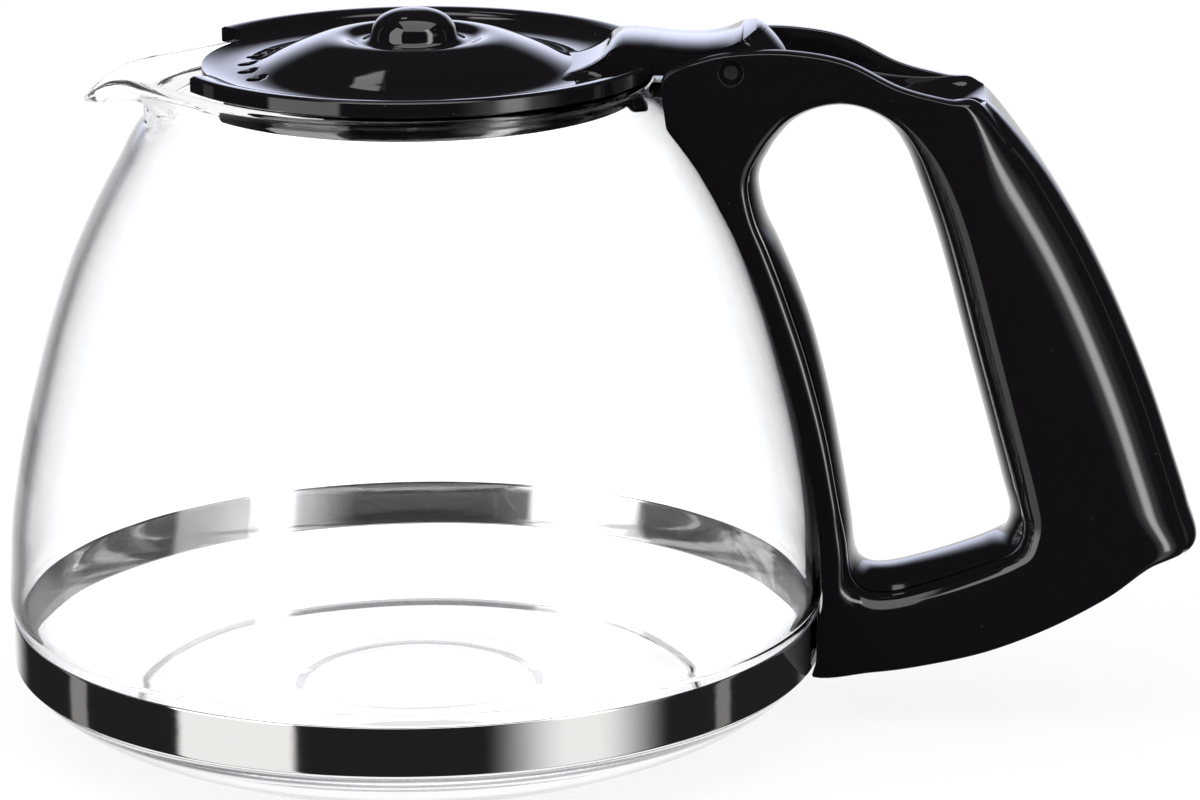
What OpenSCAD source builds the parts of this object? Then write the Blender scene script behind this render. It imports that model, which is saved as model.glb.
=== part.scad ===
// Coffee server carafe: a blown glass jug with a pulled pouring lip, a steel band that
// clamps a hollow loop handle to its foot, and a hinged lid with a thumb lever.
// Millimetres. The origin is the centre of the foot ring, on the plane it stands on.
// +X points to the handle, -X to the pouring lip, +Z is up.

/* [Jug] */
// Largest outside diameter of the glass
jug_d = 149.6; // [140:0.2:160]
// Height of the glass at its rim
jug_h = 119.2; // [112:0.2:126]
// Thickness of the glass wall
wall = 1.8; // [1.5:0.1:2.1]
// Outer diameter of the flat ring that the jug stands on
foot_d = 115; // [106:1:118]
// Width of the flat ring that the jug stands on
foot_ring_w = 5.5; // [4:0.5:7]
// Height of the hollow under the base
base_hollow = 1.2; // [0.8:0.1:1.6]
// Thickness of the glass base
base_t = 2.2; // [1.8:0.1:2.8]
// Diameter of the pushed-up middle of the base
push_d = 44; // [36:1:52]
// Height of the pushed-up middle of the base
push_h = 1; // [0.6:0.1:1.4]
// How far the pouring lip stands out past the round rim
lip_reach = 15; // [12:0.5:17]
// How far the tip of the pouring lip hangs below the rim
lip_drop = 4.6; // [3:0.2:6]

/* [Band] */
// Height of the steel band
band_h = 8.8; // [7:0.2:10]
// Height of the band's lower edge above the table
band_z = 11.2; // [10.6:0.1:12]
// Thickness of the band's strip
band_t = 0.5; // [0.4:0.05:0.6]
// Length of the band's two tabs inside the handle
tab_l = 9; // [8:0.2:10]
// Gap between the two tabs
tab_gap = 1.6; // [1.2:0.1:2.2]

/* [Clamp screw] */
// Thread diameter of the clamp screw
screw_d = 3; // [2.5:0.5:3.5]
// Diameter of the clamp screw's head
screw_head_d = 5.6; // [5:0.1:6]
// Height of the clamp screw's head
screw_head_h = 2; // [1.6:0.1:2.2]
// Width of the square nut
nut_w = 5.5; // [5:0.1:5.8]
// Thickness of the square nut
nut_t = 2.4; // [1.8:0.1:2.6]

/* [Handle] */
// Width of the handle
handle_w = 27; // [25:0.5:30]
// Reach of the handle from the jug's widest point to its spine
grip_reach = 67.2; // [62:0.2:72]
// Height of the handle's head, from the top of the finger hole's narrow end to the glass rim
head_h = 21.5; // [20:0.5:23]
// Height of the handle's foot, up to where its bar leaves the band
foot_h = 29.8; // [28:0.2:32]
// Depth of the large rounding along the spine
spine_depth = 10; // [7:0.5:12]
// Rounding of the handle's other outer edges
edge_r = 1.2; // [0.8:0.1:1.6]
// Thickness of the liner round the finger hole
liner_t = 2; // [1.6:0.1:2.2]
// Thickness of each cheek beside the lever
cheek_t = 3; // [2.6:0.1:3.4]
// Gap between the handle and the glass
handle_gap = 1.1; // [0.9:0.1:1.5]

/* [Lid] */
// How far the lid stands out past the glass rim
lid_margin = 0.4; // [0.1:0.1:0.8]
// Height of the lid's raised rim
lid_rim_h = 2.9; // [2.5:0.1:3.3]
// Height of the knob's top above the glass rim
knob_h = 10.8; // [9.5:0.1:11.5]
// Thickness of the lid's shell
lid_t = 1.8; // [1.5:0.1:2]
// Half angle of the notch in the lid's edge over the pouring lip
pour_angle = 31.5; // [28:0.5:35]
// Depth of the skirt below the glass rim
skirt_depth = 5.8; // [5:0.2:7]
// Play between the skirt and the throat of the glass
skirt_play = 2.3; // [1.8:0.1:3]
// Diameter of the drain holes
drain_d = 3.2; // [2.6:0.2:3.6]

/* [Hinge] */
// Distance of the hinge outside the lid's edge
hinge_out = 13; // [12.2:0.2:13.8]
// Height of the hinge above the glass rim
hinge_rise = 1.9; // [1.6:0.1:2.2]
// Diameter of the hinge pin
pin_d = 2.5; // [2:0.1:2.8]
// Length of the lever from the hinge to its tail
lever_tail = 12; // [11:0.2:12.2]
// Play between the thumb lever and each cheek
lever_play = 0.5; // [0.3:0.1:0.9]

/* [Hidden] */
$fn = 96;

// One overrun for every cut, and the clearances of the fits
over = 10;
seat_gap = 0.2;
pin_fit = 0.02;
lever_fit = 0.06;
screw_fit = 0.1;
liner_gap = 0.2;
band_fit = 0.05;

jug_r = jug_d / 2;
foot_r = foot_d / 2;
rim_share = 0.583;
throat_share = 0.574;
lid_r = rim_share * jug_r + lid_margin;
lid_shift = 1;
lid_z = jug_h + seat_gap;
lid_edge = lid_r + lid_shift;
hinge_x = lid_edge + hinge_out;
hinge_z = jug_h + hinge_rise;
half_w = handle_w / 2;
slot_half = half_w - cheek_t;
lever_w = 2 * (slot_half - lever_play);

// The glass's outline: foot, groove under the band, belly, and the neck with its pouring lip.
// Radius as a share of the jug's radius; height as a share of the band's height above the table,
// and above the band as a share of the way from the band to the rim.
foot_shares = [[0.824, 0.17], [0.885, 0.377], [0.941, 0.646], [0.973, 0.86]];
belly_shares = [[0.996, 0.015], [1, 0.04], [0.996, 0.09], [0.987, 0.182], [0.96, 0.302],
    [0.922, 0.423], [0.877, 0.545], [0.82, 0.665], [0.757, 0.766]];
// The last two columns are the shares of the lip's reach and drop that the height takes
neck_shares = [[0.699, 0.846, 0, 0], [0.672, 0.885, 0, 0], [0.642, 0.917, 0, 0],
    [0.61, 0.94, 0.14, 0.1], [0.584, 0.956, 0.42, 0.33], [throat_share, 0.968, 0.72, 0.62],
    [0.576, 0.977, 0.91, 0.88], [rim_share, 0.984, 1, 1]];
groove_share = 0.986;
groove_r = jug_r * groove_share;
floor_share = 0.735;
base_z = base_hollow + base_t;
side_steps = 3;
neck_steps = 2;

// The lip is sharpest at its tip: angles in degrees from -X
lip_nose_angle = 4;
lip_taper_angle = 11;
lip_half_angle = 36;
lip_dip_angle = 5.5;
neck_count = 72;

function mix(a, b, t) = a + (b - a) * t;

// Catmull-Rom curves through a list of points of any length
function bend(a, b, c, d, t) =
    (2 * b + (c - a) * t + (2 * a - 5 * b + 4 * c - d) * t * t + (3 * b - a - 3 * c + d) * t * t * t) / 2;
function smooth(p, n) = let (e = len(p) - 1) concat(
    [for (i = [0 : e - 1], k = [0 : n - 1])
        bend(p[max(i - 1, 0)], p[i], p[i + 1], p[min(i + 2, e)], k / n)], [p[e]]);
function ring_smooth(p, n) = let (m = len(p)) [for (i = [0 : m - 1], k = [0 : n - 1])
    bend(p[(i + m - 1) % m], p[i], p[(i + 1) % m], p[(i + 2) % m], k / n)];

// A curve in the radius-height plane moved square to itself, towards the axis when d is positive
function along(p, i) = let (v = p[min(i + 1, len(p) - 1)] - p[max(i - 1, 0)]) v / norm(v);
function inward(p, d) = [for (i = [0 : len(p) - 1]) let (t = along(p, i)) p[i] + d * [-t.y, t.x]];

// A closed band of quads between m rings of n points each, where the last ring meets the first
module torus(rings) {
    m = len(rings);
    n = len(rings[0]);
    polyhedron(
        points = [for (r = rings, q = r) q],
        faces = [for (i = [0 : m - 1], j = [0 : n - 1], s = [0, 1])
            let (a = i * n + j, b = i * n + (j + 1) % n,
                c = ((i + 1) % m) * n + (j + 1) % n, d = ((i + 1) % m) * n + j)
            s == 0 ? [a, b, c] : [a, c, d]],
        convexity = 10);
}

// A block of the side outline, as wide as asked and centred on the handle's middle plane
module side_block(outline, w) {
    rotate([90, 0, 0]) linear_extrude(height = w, center = true) polygon(outline);
}

module lid_place() {
    translate([lid_shift, 0, lid_z]) children();
}

function scaled(shares, rr, hh) = [for (s = shares) [s[0] * rr, s[1] * hh]];
band_top = band_z + band_h;
above_band = jug_h - band_top;
foot_knots = concat([[foot_r, 0]], scaled(foot_shares, jug_r, band_z));
groove_knots = [[groove_r, band_z - band_fit], [groove_r, band_top + band_fit]];
belly_knots = [for (s = belly_shares) [s[0] * jug_r, band_top + s[1] * above_band]];
neck_knots = [for (s = neck_shares) [s[0] * jug_r, band_top + s[1] * above_band, s[2], s[3]]];
neck_foot = [neck_knots[0].x, neck_knots[0].y];
side_line = concat(
    smooth(foot_knots, side_steps),
    groove_knots,
    smooth(concat(belly_knots, [neck_foot]), side_steps));

// The round body's wall ends in a flat ring, and the neck stands on it a hair inside its edges
wall_top = neck_foot - [wall / along(side_line, len(side_line) - 1).y, 0];
seam = 0.05;

module jug_body() {
    inner = inward(side_line, wall);
    first = 2 * side_steps;
    inner_line = concat([wall_top], [for (i = [len(inner) - 2 : -1 : first]) inner[i]]);
    rotate_extrude() polygon(concat(
        [[foot_r - foot_ring_w, 0]], side_line, inner_line,
        [[floor_share * jug_r, base_z], [push_d / 2 + push_h, base_z],
            [push_d / 2 - push_h, base_z + push_h], [0, base_z + push_h],
            [0, base_hollow + push_h], [push_d / 2 - push_h, base_hollow + push_h],
            [push_d / 2 + push_h, base_hollow], [foot_r - foot_ring_w - base_hollow, base_hollow]]));
}

// How much of the lip's reach and drop an angle from the lip's middle plane takes
function lip_out(a) = abs(a) >= lip_half_angle ? 0 :
    exp((lip_nose_angle - norm([a, lip_nose_angle])) / lip_taper_angle)
        * (1 - pow(abs(a) / lip_half_angle, 4));
function lip_down(a) = exp(-pow(a / lip_dip_angle, 2));

// One section of the neck: up the outside, round the fire-polished bead, down the inside
bead_turns = [45, 90, 135];
function neck_outer(a) = [for (k = smooth(neck_knots, neck_steps))
    [k[0] + lip_reach * lip_out(a) * k[2], k[1] - lip_drop * lip_down(a) * k[3]]];
function neck_section(a) =
    let (o = neck_outer(a), i = inward(o, wall), e = len(o) - 1, t = along(o, e),
        c = (o[e] + i[e]) / 2, across = o[e] - c)
    concat(
        [o[0] - [seam, 0]],
        [for (k = [1 : e]) o[k]],
        [for (g = bead_turns) c + cos(g) * across + sin(g) * norm(across) * t],
        [for (k = [e : -1 : 1]) i[k]],
        [wall_top + [4 * seam, 0]]);

// Sides crowd towards the lip, where the shape is tightest
crowd_share = 0.65;
function side_angle(j) = let (u = 2 * j / neck_count - 1)
    180 * ((1 - crowd_share) * u + crowd_share * u * abs(u));

module jug_neck() {
    torus([for (j = [0 : neck_count - 1]) let (a = side_angle(j))
        [for (p = neck_section(a)) [-p[0] * cos(a), -p[0] * sin(a), p[1]]]]);
}

module glass_jug() {
    color([0.9, 0.92, 0.95, 0.4]) union() {
        jug_body();
        jug_neck();
    }
}

// The steel band runs in the groove of the glass and turns out into two tabs in the handle's foot
band_in_r = groove_r + band_fit;
band_out_r = band_in_r + band_t;
band_mid_z = band_z + band_h / 2;
tab_in = tab_gap / 2;
tab_out = tab_in + band_t;
tab_root = band_in_r + band_t / 2;
screw_x = band_out_r + tab_l / 2;

module base_band() {
    gap_half = tab_in + band_t / 2;
    color("silver") union() {
        difference() {
            translate([0, 0, band_z]) cylinder(h = band_h, r = band_out_r);
            translate([0, 0, band_z - over]) cylinder(h = band_h + 2 * over, r = band_in_r);
            translate([0, -gap_half, band_z - over])
                cube([band_out_r + over, 2 * gap_half, band_h + 2 * over]);
        }
        for (m = [0, 1]) mirror([0, m, 0]) difference() {
            translate([tab_root, tab_in, band_z])
                cube([band_out_r + tab_l - tab_root, band_t, band_h]);
            translate([screw_x, 0, band_mid_z]) rotate([-90, 0, 0])
                cylinder(h = over, r = screw_d / 2 + screw_fit);
        }
    }
}

// The clamp screw enters the far cheek of the handle's foot, crosses the tabs and ends in the nut
head_sink = 1.2;
head_y = half_w - head_sink - screw_head_h;
nut_y = -tab_out - nut_t;
nut_back = 1;
drive_share = 0.125;
screw_end = nut_y - nut_t - nut_back;

module screw_axis() {
    translate([screw_x, 0, band_mid_z]) rotate([-90, 0, 0]) children();
}

module clamp_screw() {
    drive_w = drive_share * screw_head_d;
    color("gray") difference() {
        union() {
            screw_axis() translate([0, 0, screw_end])
                cylinder(h = head_y - screw_end + screw_head_h / 2, r = screw_d / 2);
            screw_axis() translate([0, 0, head_y]) cylinder(h = screw_head_h, r = screw_head_d / 2);
        }
        for (turn = [0, 90]) screw_axis() translate([0, 0, head_y + screw_head_h]) rotate([0, 0, turn])
            cube([screw_head_d / 2, drive_w, screw_head_h], center = true);
    }
}

module clamp_nut() {
    color("gray") difference() {
        translate([screw_x - nut_w / 2, nut_y - nut_t, band_mid_z - nut_w / 2])
            cube([nut_w, nut_t, nut_w]);
        screw_axis() cylinder(h = handle_w, r = screw_d / 2 + pin_fit, center = true);
    }
}

// The handle is a loop. Each row pairs a point on the finger hole with a point on the outer edge
// and says how much of the spine's large rounding it has. X runs from the lid's edge past the
// jug's widest point to the spine, and Z from the table over the foot and the head to the rim.
grip_shares = [
    [0.226, 0.878, 0.04, 1.011, 0], [0.245, 0.903, 0.105, 1.036, 0],
    [0.275, 0.929, 0.18, 1.047, 0], [0.315, 0.945, 0.27, 1.047, 0],
    [0.36, 0.95, 0.365, 1.032, 0], [0.405, 0.941, 0.46, 0.993, 0],
    [0.443, 0.92, 0.545, 0.974, 0.15], [0.473, 0.882, 0.612, 0.965, 0.45],
    [0.498, 0.828, 0.705, 0.873, 0.8], [0.526, 0.761, 0.774, 0.782, 1],
    [0.552, 0.685, 0.832, 0.689, 1], [0.578, 0.601, 0.881, 0.596, 1],
    [0.604, 0.521, 0.925, 0.502, 1], [0.629, 0.445, 0.963, 0.407, 1],
    [0.653, 0.37, 0.99, 0.336, 0.9], [0.669, 0.315, 1.003, 0.277, 0.6],
    [0.656, 0.277, 0.92, 0.25, 0.2], [0.62, 0.262, 0.84, 0.203, 0],
    [0.56, 0.245, 0.74, 0.156, 0], [0.5, 0.231, 0.63, 0.118, 0],
    [0.445, 0.221, 0.52, 0.095, 0], [0.408, 0.224, 0.42, 0.082, 0],
    [0.388, 0.248, 0.3, 0.078, 0], [0.379, 0.303, 0.3, 0.168, 0],
    [0.369, 0.357, 0.29, 0.269, 0], [0.35, 0.45, 0.285, 0.387, 0],
    [0.33, 0.529, 0.27, 0.487, 0], [0.306, 0.605, 0.24, 0.58, 0],
    [0.278, 0.672, 0.2, 0.672, 0], [0.248, 0.731, 0.155, 0.756, 0],
    [0.222, 0.777, 0.105, 0.832, 0], [0.209, 0.824, 0.045, 0.908, 0],
    [0.212, 0.853, 0.03, 0.958, 0]];
grip_inset = 2;
grip_start = lid_r - grip_inset;
belly_share = 0.328;
head_share = 0.82;
foot_share = 0.25;
grip_steps = 3;
turns = [0, 18, 36, 54, 72, 90];
lip_depth = 2.2;
lip_side = 1.5;
grip_lip_depth = 6;
grip_lip_side = 4;
spine_flat = 1;

function grip_x(s) = s < belly_share ? mix(grip_start, jug_r, s / belly_share) :
    jug_r + grip_reach * (s - belly_share) / (1 - belly_share);
function grip_z(s) = s < foot_share ? foot_h * s / foot_share :
    s > head_share ? jug_h - head_h * (1 - s) / (1 - head_share) :
    mix(foot_h, jug_h - head_h, (s - foot_share) / (head_share - foot_share));
grip_rows = ring_smooth(grip_shares, grip_steps);
function hole_point(row) = [grip_x(row[0]), grip_z(row[1])];
function edge_point(row) = [grip_x(row[2]), grip_z(row[3])];
function mirrored(p) = concat(p, [for (k = [len(p) - 1 : -1 : 0]) [p[k][0], -p[k][1]]]);

// A section as [distance from the finger hole, half width] points, laid from the hole outwards
function shell_half(row) =
    let (span = norm(edge_point(row) - hole_point(row)), k = min(max(row[4], 0), 1),
        depth = mix(edge_r, spine_depth, k), side = mix(edge_r, half_w - spine_flat, k),
        in_depth = mix(lip_depth, grip_lip_depth, k), in_side = mix(lip_side, grip_lip_side, k),
        start = liner_t + liner_gap)
    concat(
        [for (g = turns) [start + in_depth * (1 - cos(g)), half_w - in_side + in_side * sin(g)]],
        [for (g = turns) [span - depth + depth * sin(g), half_w - side + side * cos(g)]]);

liner_side = grip_lip_side + liner_gap;
liner_half = half_w - liner_side;
function liner_line() = concat(
    [for (g = turns) [liner_t * (1 - cos(g)) * sin(g), liner_half * sin(g)]],
    [[liner_t, liner_half]]);

function placed(row, section) =
    let (h = hole_point(row), v = edge_point(row) - h, u = v / norm(v))
    [for (q = section) [h.x + u.x * q[0], q[1], h.y + u.y * q[0]]];

// The space kept free for the glass, the band and the lid's edge
lid_clear = 2.4;
cut_top = jug_h + 2 * over;
module glass_space() {
    neck_r = lid_edge + lid_clear;
    knots = concat(foot_knots, groove_knots, belly_knots, [neck_foot]);
    rotate_extrude() polygon(concat(
        [[0, -over], [foot_r, -over]],
        inward(knots, -handle_gap),
        [[neck_r + handle_gap, neck_knots[2].y], [neck_r, lid_z],
            [neck_r, cut_top], [0, cut_top]]));
}

// The lever's slot between the cheeks: a front web, a well that the tail swings in, then a floor
// that rises to the thumb scoop. Angles are about the hinge; radii are shares of the tail.
web_drop = 0.6;
web_share = 0.7;
well_clear = 0.5;
well_shares = [[235, 0.9], [262, 0.64], [285, 0.66], [305, 0.84], [318, 1], [330, 1], [345, 1]];
floor_shares = [[0.34, 0.986], [0.4, 0.979], [0.45, 0.966], [0.495, 0.951], [0.54, 0.944],
    [0.58, 0.949], [0.61, 0.966]];

module lever_slot() {
    side_block(concat(
        [[grip_start - over, cut_top], [grip_start - over, jug_h - web_drop],
            [hinge_x - web_share * lever_tail, jug_h - web_drop]],
        [for (w = well_shares) [hinge_x, hinge_z]
            + (w[1] * lever_tail + well_clear) * [cos(w[0]), sin(w[0])]],
        [for (f = floor_shares) [grip_x(f[0]), grip_z(f[1])]],
        [[grip_x(floor_shares[6][0]), cut_top]]), 2 * slot_half);
}

// A nose on the handle that reaches under the bead of the glass rim
claw_half_angle = 6;
claw_gap = 0.35;
claw_knots = [4, 5, 6, 7];
module rim_claw() {
    neck = [for (k = claw_knots) [neck_knots[k].x + claw_gap, neck_knots[k].y]];
    back = lid_edge + lid_clear + 2 * handle_gap;
    rotate([0, 0, -claw_half_angle]) rotate_extrude(angle = 2 * claw_half_angle)
        polygon(concat(neck, [[back, neck[3].y], [back, neck[0].y]]));
}

pocket_fit = 0.4;
module clamp_pocket() {
    reach = band_out_r + tab_l + pocket_fit - band_in_r + over;
    translate([band_in_r - over, -tab_out - pocket_fit, band_z - pocket_fit])
        cube([reach, 2 * (tab_out + pocket_fit), band_h + 2 * pocket_fit]);
    translate([band_in_r - over, nut_y - nut_t - liner_gap, band_mid_z - nut_w / 2 - liner_gap])
        cube([screw_x + nut_w / 2 + liner_gap - band_in_r + over, nut_t + 2 * liner_gap,
            nut_w + 2 * liner_gap]);
    screw_axis() translate([0, 0, screw_end - nut_back])
        cylinder(h = head_y - screw_end + nut_back + screw_fit, r = screw_d / 2 + screw_fit);
    screw_axis() translate([0, 0, head_y])
        cylinder(h = over, r = screw_head_d / 2 + pocket_fit);
}

pin_recess_r = 2.15;
pin_recess = 1;
module hinge_axis(y) {
    translate([hinge_x, y, hinge_z]) rotate([-90, 0, 0]) children();
}

module handle_shell() {
    color([0.05, 0.05, 0.06]) difference() {
        union() {
            difference() {
                torus([for (row = grip_rows) placed(row, mirrored(shell_half(row)))]);
                glass_space();
            }
            rim_claw();
        }
        lever_slot();
        clamp_pocket();
        hinge_axis(0) cylinder(h = handle_w + over, r = pin_d / 2 + pin_fit, center = true);
        for (m = [0, 1]) mirror([0, m, 0]) hinge_axis(half_w - pin_recess)
            cylinder(h = over, r = pin_recess_r);
    }
}

module grip_liner() {
    color([0.06, 0.06, 0.07]) torus([for (row = grip_rows) placed(row, mirrored(liner_line()))]);
}

module hinge_pin() {
    pin_l = handle_w - 2 * pin_recess;
    color("silver") hinge_axis(0) cylinder(h = pin_l, r = pin_d / 2, center = true);
}

// The lid's top line from the knob to the flange: radius as shares of the lid's radius,
// height as shares of the knob's height
knob_shares = [[0, 1], [0.055, 0.985], [0.102, 0.935], [0.14, 0.85], [0.164, 0.73], [0.174, 0.61],
    [0.186, 0.51], [0.212, 0.455], [0.25, 0.465], [0.285, 0.53], [0.325, 0.55], [0.385, 0.515],
    [0.465, 0.405], [0.55, 0.26], [0.62, 0.125], [0.67, 0.06], [0.73, 0.03], [0.8, 0.05],
    [0.86, 0.11], [0.895, 0.17]];
rim_shares = [[0.925, 0.82], [0.945, 0.93], [0.963, 0.985], [0.98, 1], [0.992, 0.97], [1, 0.84],
    [1, 0.08], [0.99, 0]];
seat_share = 0.895;
rib_depth = 1.2;
rib_w = 3.2;
under_count = 16;

module lid_profile() {
    top = scaled(knob_shares, lid_r, knob_h);
    low = inward(top, -lid_t);
    seat_r = seat_share * lid_r;
    polygon(concat(
        top,
        scaled(rim_shares, lid_r, lid_rim_h),
        [[seat_r, 0], [seat_r, -rib_depth], [seat_r - rib_w, -rib_depth]],
        [for (k = [under_count : -1 : 1]) low[k]],
        [[0, knob_h - lid_t]]));
}

lever_shares = [[-2.67, -0.11], [-2.33, -0.05], [-2.08, 0.05], [-1.9, 0.165], [-1.8, 0.265],
    [-1.7, 0.325], [-1.55, 0.345], [-1.2, 0.325], [-0.85, 0.285], [-0.45, 0.275], [-0.1, 0.33],
    [0.13, 0.425], [0.32, 0.515], [0.425, 0.54], [0.98, 0.54], [0.98, 0.24], [0.85, 0.03],
    [0.58, -0.21], [0.2, -0.28], [-0.2, -0.27], [-0.35, -0.09], [-1.83, -0.09], [-2.67, -0.15]];
boss_r = 3.2;

// The lever's tail is round in plan, and its end falls away all round the upturned crest.
// Distance beyond the crest and height above the hinge, as shares of the tail.
crest_share = 0.43;
crest_shares = [[0, 1], [0, 0.54], [0.125, 0.455], [0.315, 0.255], [0.49, 0.04], [0.75, -0.35],
    [2, -0.35], [2, 1]];
module crest_cut() {
    crest_r = lever_w / 2 + lever_play;
    translate([hinge_x + crest_share * lever_tail - crest_r, 0, hinge_z])
        rotate([0, 0, -90]) rotate_extrude(angle = 180)
        polygon([for (c = crest_shares) [crest_r + c[0] * lever_tail, c[1] * lever_tail]]);
}
drain_share = 0.689;
drain_step = 13;
drain_count = 5;
notch_share = 0.866;

module lid_cover() {
    color([0.05, 0.05, 0.06]) difference() {
        union() {
            lid_place() rotate_extrude() lid_profile();
            difference() {
                side_block([for (s = lever_shares) [hinge_x, hinge_z] + lever_tail * s], lever_w);
                crest_cut();
            }
            hinge_axis(0) cylinder(h = lever_w, r = boss_r, center = true);
        }
        lid_place() rotate([0, 0, 180 - pour_angle]) rotate_extrude(angle = 2 * pour_angle)
            translate([notch_share * lid_r, -over]) square([lid_r, 2 * over]);
        for (k = [0 : drain_count - 1])
            lid_place() rotate([0, 0, 180 + drain_step * (k - (drain_count - 1) / 2)])
                translate([drain_share * lid_r, 0, 0])
                    cylinder(h = over, r = drain_d / 2, center = true);
        hinge_axis(0) cylinder(h = lever_w + over, r = pin_d / 2 + lever_fit, center = true);
    }
}

// The skirt carries a lug by the hinge that swings under the throat: its outer face is an arc
// about the hinge, and its foot leans out. Shares are of the lug's height, from the top down.
skirt_wall = 2;
ridge = 0.4;
lug_h = 6.6;
lug_half = 4;
lug_gap = 0.4;
lug_shares = [0, 0.2, 0.4, 0.6, 0.8, 1];
lug_back_shares = [[0.36, 1.06], [0.25, 0.95], [0, 0.55]];
ridge_shares = [0.42, 0.68];
skirt_gap_angle = 35;
module lid_skirt() {
    throat_r = throat_share * jug_r - wall;
    outer = throat_r - skirt_play;
    drop = skirt_depth - rib_depth;
    lug_top = lid_z - rib_depth;
    lug_root = lid_shift + outer - skirt_wall;
    swing_r = norm([hinge_x - throat_r, hinge_z - neck_knots[5].y]) + lug_gap;
    color([0.05, 0.05, 0.06]) {
        lid_place() rotate([0, 0, 180 + skirt_gap_angle])
            rotate_extrude(angle = 360 - 2 * skirt_gap_angle) translate([0, -rib_depth])
            polygon(concat(
                [[outer - skirt_wall, 0], [outer, 0]],
                [for (s = ridge_shares, w = [-1, 0, 1])
                    [outer + (w == 0 ? ridge : 0), -s * drop + w * -ridge]],
                [[outer, ridge - drop], [outer - ridge, -drop], [outer - skirt_wall, -drop]]));
        side_block(concat(
            [for (s = lug_shares) let (z = lug_top - s * lug_h)
                [hinge_x - sqrt(swing_r * swing_r - pow(hinge_z - z, 2)), z]],
            [for (b = lug_back_shares) [lug_root + b[0] * lug_h, lug_top - b[1] * lug_h]],
            [[lug_root, lug_top]]), 2 * lug_half);
    }
}

glass_jug();
base_band();
clamp_screw();
clamp_nut();
handle_shell();
grip_liner();
hinge_pin();
lid_cover();
lid_skirt();
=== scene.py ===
import math

import bmesh
import bpy
from mathutils import Euler, Matrix, Vector


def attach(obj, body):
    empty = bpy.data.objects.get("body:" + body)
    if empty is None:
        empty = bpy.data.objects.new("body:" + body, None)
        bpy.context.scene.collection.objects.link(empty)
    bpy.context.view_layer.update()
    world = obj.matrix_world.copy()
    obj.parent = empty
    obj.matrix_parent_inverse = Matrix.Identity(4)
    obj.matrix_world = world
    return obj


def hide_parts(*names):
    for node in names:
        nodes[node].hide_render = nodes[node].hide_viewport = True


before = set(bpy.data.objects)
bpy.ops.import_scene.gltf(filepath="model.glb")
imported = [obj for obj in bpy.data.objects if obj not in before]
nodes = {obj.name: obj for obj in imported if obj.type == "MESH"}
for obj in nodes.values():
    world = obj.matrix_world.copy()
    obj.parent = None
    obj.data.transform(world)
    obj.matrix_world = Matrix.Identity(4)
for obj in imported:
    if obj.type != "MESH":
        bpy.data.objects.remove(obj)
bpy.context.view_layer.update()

mm = 0.001

# The camera stands in front of the jug and a little to the handle's side, where the photograph
# was taken from: its place and its turns are in the part's own frame.
camera_place = (74.0 * mm, -844.7 * mm, 292.2 * mm)
camera_turn = math.radians(2.717)
camera_dip = math.radians(15.504)
camera_roll = math.radians(-0.39)
focal_length = 144.2
sensor_width = 36
camera_data = bpy.data.cameras.new("camera")
camera_data.lens = focal_length
camera_data.sensor_width = sensor_width
camera = bpy.data.objects.new("camera", camera_data)
bpy.context.collection.objects.link(camera)
camera.location = camera_place
camera.rotation_euler = (Euler((math.pi / 2 - camera_dip, 0, camera_turn)).to_matrix()
                         @ Matrix.Rotation(camera_roll, 3, "Z")).to_euler()
bpy.context.scene.camera = camera
bpy.context.scene.view_settings.view_transform = "Standard"

# The glass jug is blown into a mould from one gather of clear borosilicate glass, 1.8 mm thick.
# Its rim is fire-polished to a round bead and pulled out into a pouring lip while hot.
# The groove over the foot carries the steel band, and the foot rests on a flat ring.
jug_h = 119.2
jug_steps = 340
wall = 1.8
foot_r = 57.5
ring_w = 5.5
heel_r = 54.6
foot_soft = 0.6
heel_row = 14
hollow = 1.2
base_z = 3.4
push_r = 22
push_h = 1
axis_r = 1
band_z = 11.2
band_top = 20
groove_r = 73.75
band_fit = 0.05
lip_reach = 15
lip_drop = 4.6
lip_half = 36
lip_nose = 4
lip_spread = 11
spout_turn = 5.5
foot_line = [(foot_r, 0), (61.64, 1.9), (66.2, 4.22), (70.39, 7.24), (72.78, 9.63)]
belly_line = [(74.5, 21.49), (74.8, 23.97), (74.5, 28.93), (73.83, 38.05), (71.81, 49.96),
              (68.97, 61.96), (65.6, 74.06), (61.34, 85.97), (56.62, 95.99)]
# Radius, height, and the shares of the lip's reach and drop that this height takes
neck_line = [(52.29, 103.92, 0, 0), (50.27, 107.79, 0, 0), (48.02, 110.97, 0, 0),
             (45.63, 113.25, 0.14, 0.1), (43.68, 114.84, 0.42, 0.33), (42.94, 116.03, 0.72, 0.62),
             (43.08, 116.92, 0.91, 0.88), (43.61, 117.61, 1, 1)]


def smooth(points, steps, closed=False):
    """A Catmull-Rom curve through the points, as the part's source draws it."""
    count = len(points)
    out = []
    for i in range(count if closed else count - 1):
        a, b, c, d = (points[(i + k) % count] if closed else points[min(max(i + k, 0), count - 1)]
                      for k in (-1, 0, 1, 2))
        for s in range(steps):
            t = s / steps
            out.append(tuple((2 * q + (r - p) * t + (2 * p - 5 * q + 4 * r - w) * t ** 2
                              + (3 * q - p - 3 * r + w) * t ** 3) / 2
                             for p, q, r, w in zip(a, b, c, d)))
    return out if closed else out + [tuple(points[-1])]


def rounded(a, b, c, t):
    """The point at share t of the curve that turns the corner b, from a to c."""
    return a * (1 - t) ** 2 + b * 2 * t * (1 - t) + c * t ** 2


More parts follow.
